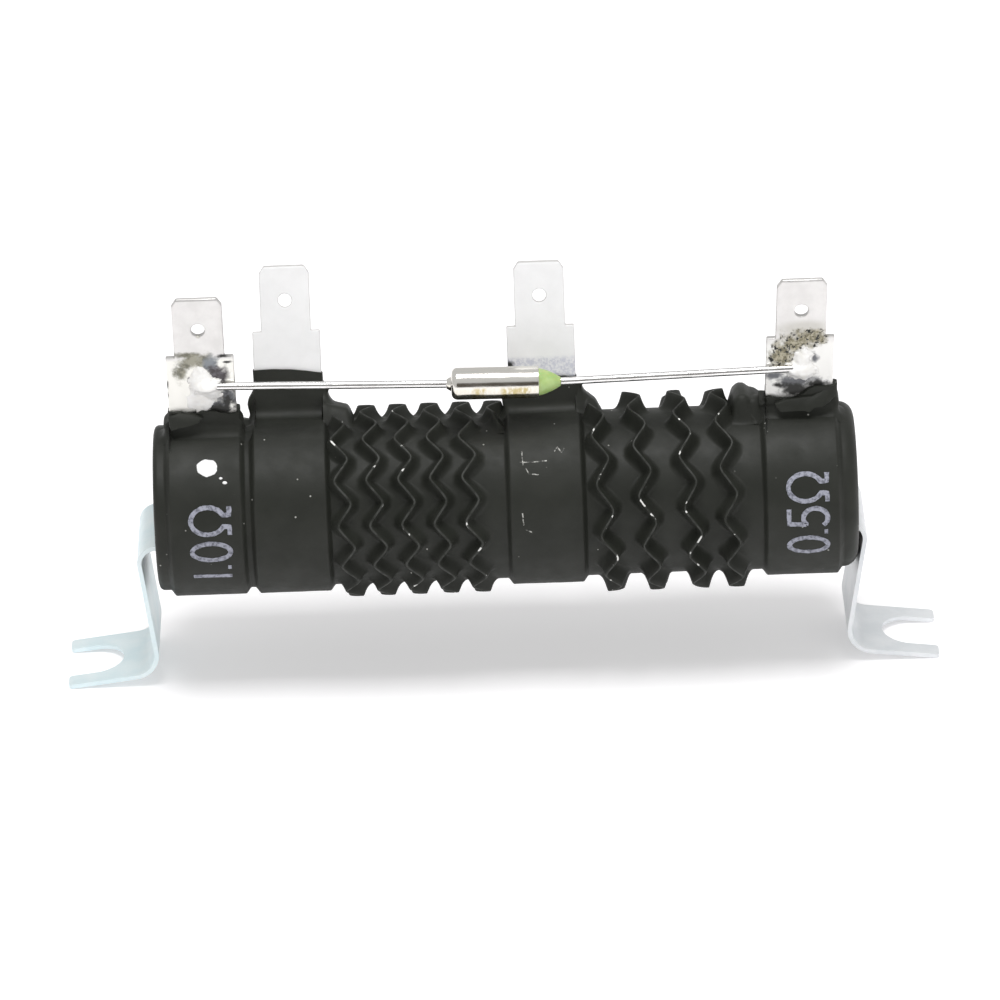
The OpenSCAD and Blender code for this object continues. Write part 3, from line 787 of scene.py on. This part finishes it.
def flake(bm, terminal, corners, proud):
    """Broken plate of coat on the front of a neck, proud at its foot; corners are (x, radius) in mm."""
    to_tube = neck_frame(terminal)
    front = -STRAP_T / 2 - NECK_FACE_COAT
    mid_r = sum(r for _, r in corners) / len(corners)
    lean, sink, rim_share, inset = 0.5, 0.1 * MM, 0.8, 0.06
    tear, tear_length = 0.12, 0.5
    torn = []
    for i, (x, r) in enumerate(corners):
        after = corners[(i + 1) % len(corners)]
        for t in (0, 0.33, 0.67):
            p = Vector((mix(x, after[0], t), mix(r, after[1], t)))
            shift = [rough((p.x, p.y, 0), tear_length, seed) for seed in (3.0, 9.0)]
            torn.append(p + tear * Vector(shift))
    middle = sum(torn, Vector((0, 0))) / len(torn)

    def face(p, lift):
        """Point of the face, which leans out towards its foot."""
        s = front - lift + lean * (p.y - mid_r) * MM
        return to_tube(p.x * MM, s, p.y * MM)

    root = [to_tube(p.x * MM, front + sink, p.y * MM) for p in torn]
    rim = [face(p, proud * rim_share) for p in torn]
    top = [face(p.lerp(middle, inset), proud) for p in torn]
    add_rings(bm, [root, rim, top])


# Ribbons

# Section of a ribbon: its crown and the crown's shoulder, and the curve and sink of its foot
CROWN_HALF = 0.3 * RIBBON_T
CROWN_SHOULDER = 0.96
FOOT_POWER = 2.3
FOOT_STEPS = 9
FOOT_SINK = 0.1 * MM
# Share of a ribbon's height that is left at its ends, its rings for each wave, and its unevenness
END_HEIGHT = 0.08
WAVE_STEPS = 18
RIBBON_WAVES = ((0.06 * MM, 1.5 * MM, 5.5),)


def zigzag(degrees):
    """Zigzag with rounded crests, between -1 and 1."""
    return math.asin(CREST_SHARPNESS * math.cos(math.radians(degrees))) / math.asin(CREST_SHARPNESS)


def ribbon_section(height):
    """Section of a ribbon, from its foot over its crown to its other foot."""
    shares = [k / FOOT_STEPS for k in range(FOOT_STEPS, 0, -1)]
    side = [(CROWN_HALF + RIBBON_FOOT * t, height * (1 - t) ** FOOT_POWER) for t in shares]
    side.insert(0, (side[0][0], -FOOT_SINK))
    side += [(CROWN_HALF, CROWN_SHOULDER * height), (0.5 * CROWN_HALF, height)]
    return [(-dx, h) for dx, h in side] + [(dx, h) for dx, h in reversed(side)]


def ribbon(name, left_edge, right_edge, gaps, height, turns, per_turn, swing, crest, crowding):
    """Ribbon wound on edge, with waves along the tube and the coat drawn up its sides."""
    start_x = left_edge + gaps[0]
    pitch = (right_edge - gaps[1] - start_x) / turns
    end_clear = EDGE_SOFT + RIBBON_T / 2
    section = ribbon_section(height)

    def winding(u):
        """Middle of the ribbon along the tube after some turns."""
        wave = swing * zigzag(per_turn * (360 * u - crest))
        return start_x + pitch * u + crowding * math.sin(math.pi * (u / turns) ** 2) + wave

    def away(u):
        """Share of the full form, which fades out in the leads."""
        return min(ease(1 + u / RIBBON_LEAD), ease(1 - (u - turns) / RIBBON_LEAD))

    def middle(u):
        """The same, with the leads that run to the bands."""
        if u < 0:
            return mix(left_edge + end_clear, winding(0), away(u))
        if u > turns:
            return mix(right_edge - end_clear, winding(turns), away(u))
        return winding(u)

    whole = turns + 2 * RIBBON_LEAD
    steps = round(whole * per_turn * WAVE_STEPS)
    tiny = 1e-4
    rings = []
    for i in range(steps + 1):
        u = whole * i / steps - RIBBON_LEAD
        slope = (middle(u + tiny) - middle(u - tiny)) / (2 * tiny * 2 * math.pi * COAT_R)
        widen = math.sqrt(1 + slope * slope)
        low = mix(END_HEIGHT, 1.0, away(u))
        ring = []
        for dx, h in section:
            x = middle(u) + dx * widen
            x += waves(on_tube(x, 360 * u, COAT_R + h), RIBBON_WAVES)
            ring.append(on_tube(x, 360 * u, COAT_R + uneven(x, 360 * u) * (1 - h / height) + h * low))
        rings.append(ring)
    bm = bmesh.new()
    add_rings(bm, rings)
    return new_object(name, bm, 50)


# Solder

# Power of a lobe's dome, and power by which lobes run into each other
DOME_POWER = 1.6
MERGE_POWER = 3
# Unevenness of the rims and tops
RIM_WAVES = ((0.3, 1.3 * MM, 0), (0.22, 0.5 * MM, 7))
TOP_WAVES = ((0.08, 0.6 * MM, 2), (0.04, 0.3 * MM, 0))


def solder_height(x, r, joint_r, lobes, seed):
    """Height of solder on a neck; lobes are (x, up, half width, half height, thickness) in mm."""
    wobble = 1 + waves((x, r, 0), RIM_WAVES, seed)
    total = 0.0
    for lobe_x, up, half_w, half_h, peak in lobes:
        away = math.hypot((x / MM - lobe_x) / half_w, ((r - joint_r) / MM - up) / half_h) / wobble
        if away < 1:
            total += (peak * (1 - away ** 2) ** DOME_POWER) ** MERGE_POWER
    thick = total ** (1 / MERGE_POWER)
    return (thick + waves((x, r, 0), TOP_WAVES, seed) * min(1.0, 4 * thick)) * MM


def solder_joint(name, terminal, lobes, seed):
    """Solder on the front of a neck, as a grid that is raised where the lobes are and closed behind."""
    to_tube = neck_frame(terminal)
    joint_r = JOINT_RADII[terminal]
    beside, under, above = 0.1 * MM, 0.6 * MM, 0.2 * MM
    step, least, sink = 0.12 * MM, 0.025 * MM, 0.02 * MM
    half_w = STRAP_W / 2 - beside
    low_r = STRAP_R + COLLAR_RISES[terminal] - under
    high_r = STRAP_R + NECK_RISE - above
    columns = int(2 * half_w / step)
    rows = int((high_r - low_r) / step)
    bm = bmesh.new()
    grid = {}
    for i in range(columns + 1):
        for k in range(rows + 1):
            x = mix(-half_w, half_w, i / columns)
            r = mix(low_r, high_r, k / rows)
            h = solder_height(x, r, joint_r, lobes, seed)
            if h > least:
                grid[i, k] = bm.verts.new(to_tube(x, -STRAP_T / 2 - h, r))
    for i in range(columns):
        for k in range(rows):
            corners = [(i, k), (i + 1, k), (i + 1, k + 1), (i, k + 1)]
            if all(c in grid for c in corners):
                bm.faces.new([grid[c] for c in corners])
    lone = [f for f in bm.faces if all(e.is_boundary for e in f.edges)]
    bmesh.ops.delete(bm, geom=lone, context="FACES")
    loose = [v for v in bm.verts if not v.link_faces]
    bmesh.ops.delete(bm, geom=loose, context="VERTS")
    back = bmesh.ops.extrude_face_region(bm, geom=list(bm.faces))
    seat = to_tube(0, -STRAP_T / 2 + sink, joint_r)
    forward = (to_tube(0, -1, 0) - to_tube(0, 0, 0)).normalized()
    for v in [g for g in back["geom"] if isinstance(g, bmesh.types.BMVert)]:
        v.co -= forward * (v.co - seat).dot(forward)
    return new_object(name, bm)


# Marks


def arc_points(centre, radii, start, end, count):
    """Points on part of an ellipse, from one angle to another."""
    angles = [math.radians(mix(start, end, k / count)) for k in range(count + 1)]
    return [(centre[0] + radii[0] * math.cos(a), centre[1] + radii[1] * math.sin(a)) for a in angles]


# Strokes of each sign in mm, in a box as wide as its first entry and as high as SIGN_H
SIGN_H = 4.9
SIGNS = {
    "one": (1.0, [[(0.5, 0), (0.5, SIGN_H)]]),
    "point": (0.6, [[(0.3, 0), (0.3, 0.45)]]),
    "nought": (2.7, [arc_points((1.35, SIGN_H / 2), (1.2, SIGN_H / 2), 90, 450, 28)]),
    "five": (2.8, [
        [(2.5, SIGN_H), (0.5, SIGN_H), (0.4, 2.75)],
        [(0.4, 2.75)] + arc_points((1.25, 1.55), (1.3, 1.55), 130, -140, 18),
    ]),
    "ohm": (4.1, [
        [(0.2, 0), (1.3, 0)] + arc_points((2.05, 2.75), (1.75, 2.15), 245, -65, 28) + [(2.8, 0), (3.9, 0)],
    ]),
}


# How deep marks root in the coat, the ink's height and half width, and the steps and waver of strokes
MARK_ROOT = 0.08 * MM
INK_LIFT = 0.03 * MM
INK_HALF = 0.3 * MM
STROKE_STEP = 0.3 * MM
STROKE_WAVES = ((0.22, 0.5 * MM, 4.0),)


def add_stroke(bm, points, half_w, lift):
    """Flat stroke on the coat along points given as (x along the tube, distance round it)."""
    fine = []
    for p, q in zip(points, points[1:]):
        count = max(1, math.ceil((Vector(q) - Vector(p)).length / STROKE_STEP))
        fine += [Vector(p).lerp(Vector(q), k / count) for k in range(count)]
    fine.append(Vector(points[-1]))
    rings = []
    for i, p in enumerate(fine):
        run = (fine[min(i + 1, len(fine) - 1)] - fine[max(i - 1, 0)]).normalized()
        wide = half_w * (1 + waves((p.x, p.y, 0), STROKE_WAVES))
        across = Vector((-run.y, run.x)) * wide
        ring = []
        for side, height in ((1, -MARK_ROOT), (1, lift), (-1, lift), (-1, -MARK_ROOT)):
            q = p + side * across
            ring.append(on_coat(q.x, math.degrees(q.y / BAND_R), height))
        rings.append(ring)
    add_rings(bm, rings)


def add_value(bm, signs, baseline_x, start_angle, gap):
    """Signs that read up the front of a band, with their heads towards the left end."""
    way = math.radians(start_angle) * BAND_R
    for sign in signs:
        width, strokes = SIGNS[sign]
        for stroke in strokes:
            places = [(baseline_x - up * MM, way - across * MM) for across, up in stroke]
            add_stroke(bm, places, INK_HALF, INK_LIFT)
        way -= (width + gap) * MM


# Rings of a blot from its root to its top, as (share of its half size, height), and its uneven rim
BLOT_RINGS = ((1.0, -MARK_ROOT), (1.0, 0.03 * MM), (0.85, 0.08 * MM), (0.45, 0.1 * MM))
BLOT_WAVES = ((0.12, 1 / 2, 0), (0.05, 1 / 6, 0))


def add_blot(bm, x, angle, half_w, half_h, seed):
    """Blot of paint with an uneven rim."""
    count = 36
    rings = []
    for share, lift in BLOT_RINGS:
        ring = []
        for i in range(count):
            a = 2 * math.pi * i / count
            wide = share * (1 + waves((math.cos(a), math.sin(a), 0), BLOT_WAVES, seed))
            way = half_h * wide * math.sin(a)
            ring.append(on_coat(x + half_w * wide * math.cos(a), angle + math.degrees(way / BAND_R), lift))
        rings.append(ring)
    add_rings(bm, rings)


# Camera, light and floor

VIEW_ELEVATION = 28.0
VIEW_ROLL = 2.05
VIEW_DISTANCE = 0.87
PIXELS_PER_METRE = 7810.0
IMAGE_SIZE = 1000
# Where the middle of the tube lies in the picture
CENTRE_PIXEL = (506.0, 495.3)
FLOOR_HALF = 3.0
FLOOR_GLOW = 0.3
WORLD_LEVEL = 0.6
# Dark patch in front: its elevation, and the angles from its middle where it ends and is full
PATCH_ELEVATION = 13.5
PATCH_END = 19.0
PATCH_FULL = 11.0
# Lamps: place from the tube's middle and size in metres, and power in watts
SOFTBOX = {"spot": (0, -0.125, 0.79), "size": (0.4, 0.28), "power": 3.4}
FILL = {"spot": (0.4, -0.75, 0.25), "size": (0.5, 0.4), "power": 1.15}


def add_camera():
    """Camera that shows the tube's middle at its place in the picture, at a given scale."""
    tilt = Matrix.Rotation(math.radians(90 - VIEW_ELEVATION), 3, "X")
    turn = tilt @ Matrix.Rotation(math.radians(-VIEW_ROLL), 3, "Z")
    off_x = (CENTRE_PIXEL[0] - IMAGE_SIZE / 2) / PIXELS_PER_METRE
    off_y = (IMAGE_SIZE / 2 - CENTRE_PIXEL[1]) / PIXELS_PER_METRE
    data = bpy.data.cameras.new("camera")
    data.lens = PIXELS_PER_METRE * VIEW_DISTANCE * data.sensor_width / IMAGE_SIZE
    data.clip_start = 0.01
    camera = bpy.data.objects.new("camera", data)
    spot = CENTRE + turn @ Vector((-off_x, -off_y, VIEW_DISTANCE))
    camera.matrix_world = Matrix.Translation(spot) @ turn.to_4x4()
    bpy.context.scene.collection.objects.link(camera)
    bpy.context.scene.camera = camera


def add_area_light(name, spot, size, power, mirrored):
    """Soft lamp that faces the tube's middle; mirrored says whether metal shows it."""
    data = bpy.data.lights.new(name, "AREA")
    data.shape = "RECTANGLE"
    data.size, data.size_y = size
    data.energy = power
    lamp = bpy.data.objects.new(name, data)
    lamp.location = CENTRE + Vector(spot)
    lamp.rotation_euler = (lamp.location - CENTRE).to_track_quat("Z", "Y").to_euler()
    lamp.visible_glossy = mirrored
    bpy.context.scene.collection.objects.link(lamp)


def add_floor():
    """White floor that keeps the object's shadow; seen directly it glows a little, up to plain white."""
    bm = bmesh.new()
    bmesh.ops.create_grid(bm, x_segments=1, y_segments=1, size=FLOOR_HALF)
    floor = new_object("floor", bm)
    s = Shader("floor")
    path = s.add("ShaderNodeLightPath").outputs
    seen = s.fold("MAXIMUM", path["Is Camera Ray"], path["Is Glossy Ray"], path["Is Transmission Ray"])
    material = s.made(
        Base_Color=(*FLOOR_WHITE, 1.0), Roughness=0.9, Specular_IOR_Level=0.0,
        Emission_Color=(*STUDIO_WHITE, 1.0), Emission_Strength=s.math("MULTIPLY", seen, FLOOR_GLOW),
    )
    floor.data.materials.append(material)


def add_world():
    """Even studio white, with a dark patch low in front that the fuse and its leads mirror."""
    world = bpy.data.worlds.new("studio")
    bpy.context.scene.world = world
    world.use_nodes = True
    nodes = Nodes(world.node_tree)
    back = nodes.tree.nodes["Background"].inputs
    nodes.put(back["Strength"], WORLD_LEVEL)
    way = nodes.add("ShaderNodeTexCoord").outputs["Generated"]
    rise, end, full = (math.radians(a) for a in (PATCH_ELEVATION, PATCH_END, PATCH_FULL))
    facing = nodes.vector("DOT_PRODUCT", way, (0.0, -math.cos(rise), math.sin(rise)))
    patch = nodes.span(facing, math.cos(end), math.cos(full))
    nodes.put(back["Color"], nodes.blend(patch, STUDIO_WHITE, STUDIO_DARK))


# Building

# Torn plates of coat on the end terminals' necks, as (x, radius) in mm
LEFT_FLAKE = (
    (-4.4, 14.1), (-2.9, 14.6), (-1.4, 14.3), (0.0, 14.0), (-0.5, 13.4), (-2.3, 13.0), (-4.1, 12.7),
)
RIGHT_FLAKE = (
    (-3.1, 13.2), (-2.0, 13.7), (-0.1, 13.9), (1.6, 14.0), (3.4, 14.8), (4.6, 14.8), (4.6, 14.0),
    (3.9, 13.3), (3.1, 12.8), (1.9, 12.6), (1.2, 12.2), (0.3, 12.4), (-2.4, 12.3), (-2.9, 12.8),
)
# Lobes of solder round the joints: x, up, half width, half height and thickness in mm
LEFT_LOBES = (
    (-0.2, 0.5, 1.6, 2.2, 0.8), (0.8, -0.7, 2.3, 1.4, 1.0),
    (0.8, 0.0, 2.2, 1.1, 1.7), (-0.2, -2.2, 2.3, 2.1, 0.2),
)
RIGHT_LOBES = ((0.5, 1.2, 1.3, 1.9, 0.8), (0.3, -0.5, 2.2, 1.7, 1.3), (-0.5, -0.2, 1.7, 1.1, 1.2))
# Paint dot and splashes: x from the band's middle, angle from the top, half width and half height, in mm
DOT_SPOTS = ((0.4, 36.9, 1.32, 1.2), (2.1, 44.5, 0.22, 0.16), (2.6, 47.5, 0.3, 0.2))
# Scratches on the middle band, as (x from its middle in mm, angle from the top)
SCRATCHES = (
    ((-2.9, 33), (-2.9, 38), (-2.8, 43)), ((-3.2, 41), (-1.4, 41), (0.2, 40.5)),
    ((-2.5, 45), (-2.1, 49), (-0.9, 49.5)), ((1.2, 34), (1.6, 31), (2.1, 35), (2.5, 32)),
    ((-3.1, 74), (-3.0, 82)), ((-2.8, 85), (-2.0, 87)),
)
SCRATCH_HALF = 0.07 * MM
SCRATCH_LIFT = 0.012 * MM
# Rounding of the CAD nodes' edges: of cut strip, and of coined terminals and resin
CUT_ROUND = 0.06 * MM
SOFT_ROUND = 0.15 * MM


def build_coat():
    """The coat over the tube, its collars up the necks and its broken plates, as one piece."""
    bm = bmesh.new()
    coat_skin(bm)
    collar(bm, "end_left", torn_edge(1.3, 0.5 * MM), bulge=0.1 * MM, right_coat=0.5 * MM)
    collar(bm, "tap_left", smooth_edge, bulge=0.3 * MM)
    collar(bm, "tap_centre", torn_edge(6.1, 0.25 * MM, -1.8 * MM, -1.8 * MM), bulge=0.2 * MM)
    right_edge = torn_edge(9.4, 0.4 * MM, -0.8 * MM, 0.8 * MM)
    collar(bm, "end_right", right_edge, bulge=0.1 * MM, right_coat=0.6 * MM)
    flake(bm, "end_left", LEFT_FLAKE, proud=0.75 * MM)
    flake(bm, "end_right", RIGHT_FLAKE, proud=0.7 * MM)
    dress(new_object("coat", bm, 60), coat_material("black_enamel"), ["enamel_coat"])


def build_ribbons():
    """The two ribbons between the bands of the taps and the right end."""
    left_h, right_h = RIBBON_HEIGHTS
    first = ribbon(
        "ribbon_first_section", BAND_XS["tap_left"] + BAND_HALF, BAND_XS["tap_centre"] - BAND_HALF,
        (1.2 * MM, 1.35 * MM), left_h, turns=5, per_turn=13, swing=0.93 * MM, crest=8.4, crowding=0,
    )
    dress(first, coat_material("coated_ribbon_first", COAT_R + left_h), ["ribbon_left"])
    second = ribbon(
        "ribbon_second_section", BAND_XS["tap_centre"] + BAND_HALF, BAND_XS["end_right"] - BAND_HALF,
        (1.7 * MM, 2.1 * MM), right_h, turns=4, per_turn=11.75, swing=0.9 * MM, crest=12,
        crowding=1.6 * MM,
    )
    dress(second, coat_material("coated_ribbon_second", COAT_R + right_h), ["ribbon_right"])


def build_solder():
    """The solder on the two end terminals."""
    material = solder_material()
    for side, lobes, seed in (("left", LEFT_LOBES, 2.0), ("right", RIGHT_LOBES, 5.0)):
        lump = solder_joint(f"solder_lump_{side}", f"end_{side}", lobes, seed)
        dress(lump, material, [f"solder_{side}"])


def build_marks():
    """Plain value numbers and a paint dot on the end bands, and scratches on the middle band."""
    bm = bmesh.new()
    baseline = 3.0 * MM
    left_foot, right_foot = (BAND_XS[end] + baseline for end in ("end_left", "end_right"))
    add_value(bm, ("one", "point", "nought", "ohm"), left_foot, start_angle=116, gap=0.8)
    add_value(bm, ("nought", "point", "five", "ohm"), right_foot, start_angle=111, gap=0.4)
    dress(new_object("value_marks", bm, 40), ink_material("value_ink", INK, 0.45))
    bm = bmesh.new()
    for i, (x, angle, half_w, half_h) in enumerate(DOT_SPOTS):
        add_blot(bm, BAND_XS["end_left"] + x * MM, angle, half_w * MM, half_h * MM, seed=1.0 + i)
    dress(new_object("paint_dot", bm, 40), ink_material("white_paint", WHITE_PAINT, 0.3))
    bm = bmesh.new()
    for scratch in SCRATCHES:
        places = [(BAND_XS["tap_centre"] + x * MM, math.radians(a) * BAND_R) for x, a in scratch]
        add_stroke(bm, places, SCRATCH_HALF, SCRATCH_LIFT)
    dress(new_object("scratches", bm, 40), ink_material("scratch", SCRATCH, 0.52))


def round_edges(obj, width):
    """Joins a CAD mesh's split corners, clears its flat faces of triangles and rounds its edges."""
    obj.modifiers.new("weld", "WELD").merge_threshold = 0.002 * MM
    flat = obj.modifiers.new("flat", "DECIMATE")
    flat.decimate_type = "DISSOLVE"
    flat.angle_limit = math.radians(1)
    rounding = obj.modifiers.new("bevel", "BEVEL")
    rounding.width = width
    rounding.segments = 2
    rounding.limit_method = "ANGLE"
    rounding.angle_limit = math.radians(40)
    rounding.use_clamp_overlap = False
    obj.modifiers.new("normals", "WEIGHTED_NORMAL")


def finish_node(node, material, edge=None):
    """Gives a CAD node its material, and rounded edges of a given width."""
    obj = NODES[node]
    obj.data.materials.clear()
    obj.data.materials.append(material)
    if edge:
        round_edges(obj, edge)


def finish_terminals():
    """Matte tin on the end terminals and a paler tin on the taps that is partly painted light, with their
    stains and painted shade.
    """
    matte = {"colours": TIN_MATTE, "roughness": 0.45, "metal": 0.75}
    # Partly painted light: the taps' tin is paler and far less metallic than the ends' tin, for the top
    # light they catch
    pale_lit = {"colours": TIN_PALE_LIT, "roughness": 0.5, "metal": 0.12}
    for terminal, name, tin, stain in (
        ("end_left", "matte_tin_left", matte, smoke_stain_and_shade),
        ("end_right", "matte_tin_right", matte, speck_stain_and_shade),
        ("tap_left", "pale_lit_tin", pale_lit, None),
        ("tap_centre", "pale_lit_tin_frosted", pale_lit, frost_stain),
    ):
        finish_node(node_name(terminal), tin_material(name, terminal, stain=stain, **tin), SOFT_ROUND)


def finish_nodes():
    """Materials and edges of the CAD nodes that stay in view."""
    finish_node("ceramic_core", ceramic_material())
    finish_terminals()
    finish_node("fuse_case", nickel_material(), CUT_ROUND)
    finish_node("fuse_seal", resin_material(), SOFT_ROUND)
    wire = wire_material()
    finish_node("fuse_lead_left", wire)
    finish_node("fuse_lead_right", wire)
    finish_node("bracket_left", zinc_material("zinc_left", ZINC_BLUE), CUT_ROUND)
    finish_node("bracket_right", zinc_material("zinc_right", ZINC_GREY), CUT_ROUND)


build_coat()
build_ribbons()
build_solder()
build_marks()
finish_nodes()
add_floor()
add_world()
add_area_light("softbox", **SOFTBOX, mirrored=True)
add_area_light("fill", **FILL, mirrored=False)
add_camera()
bpy.context.scene.view_settings.view_transform = "Standard"
